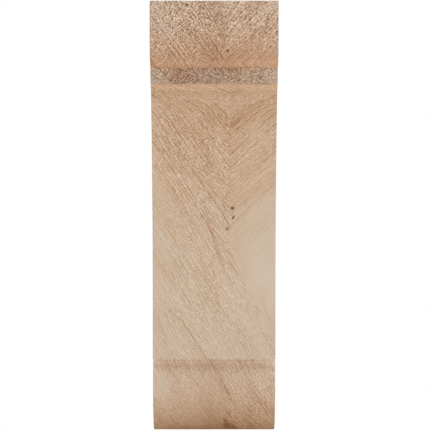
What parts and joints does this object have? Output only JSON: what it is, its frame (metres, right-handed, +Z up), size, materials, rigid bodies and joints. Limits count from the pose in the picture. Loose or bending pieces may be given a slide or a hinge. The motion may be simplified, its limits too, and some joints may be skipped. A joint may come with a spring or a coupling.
{
  "type": "wood bracket",
  "caption": "Solid timber wall bracket with a flat back and top: quarter-round fascia, narrow fillet, long sweeping cove, plumb neck and a rounded roll at the foot.",
  "frame": {"origin": "centre of the flat back face, where it meets the wall", "axes": "+Z up, +Y out of the back into the wall so the moulded front faces -Y, +X to the right seen from the front"},
  "size_m": [0.0884, 0.1778, 0.3048],
  "materials": {
    "bare_timber": "bare, unsealed pale timber with open grain, rough sawn on the fascia and fillet and sanded elsewhere"
  },
  "bodies": {
    "root": {"wood_bracket": "bare_timber"}
  },
  "joints": []
}
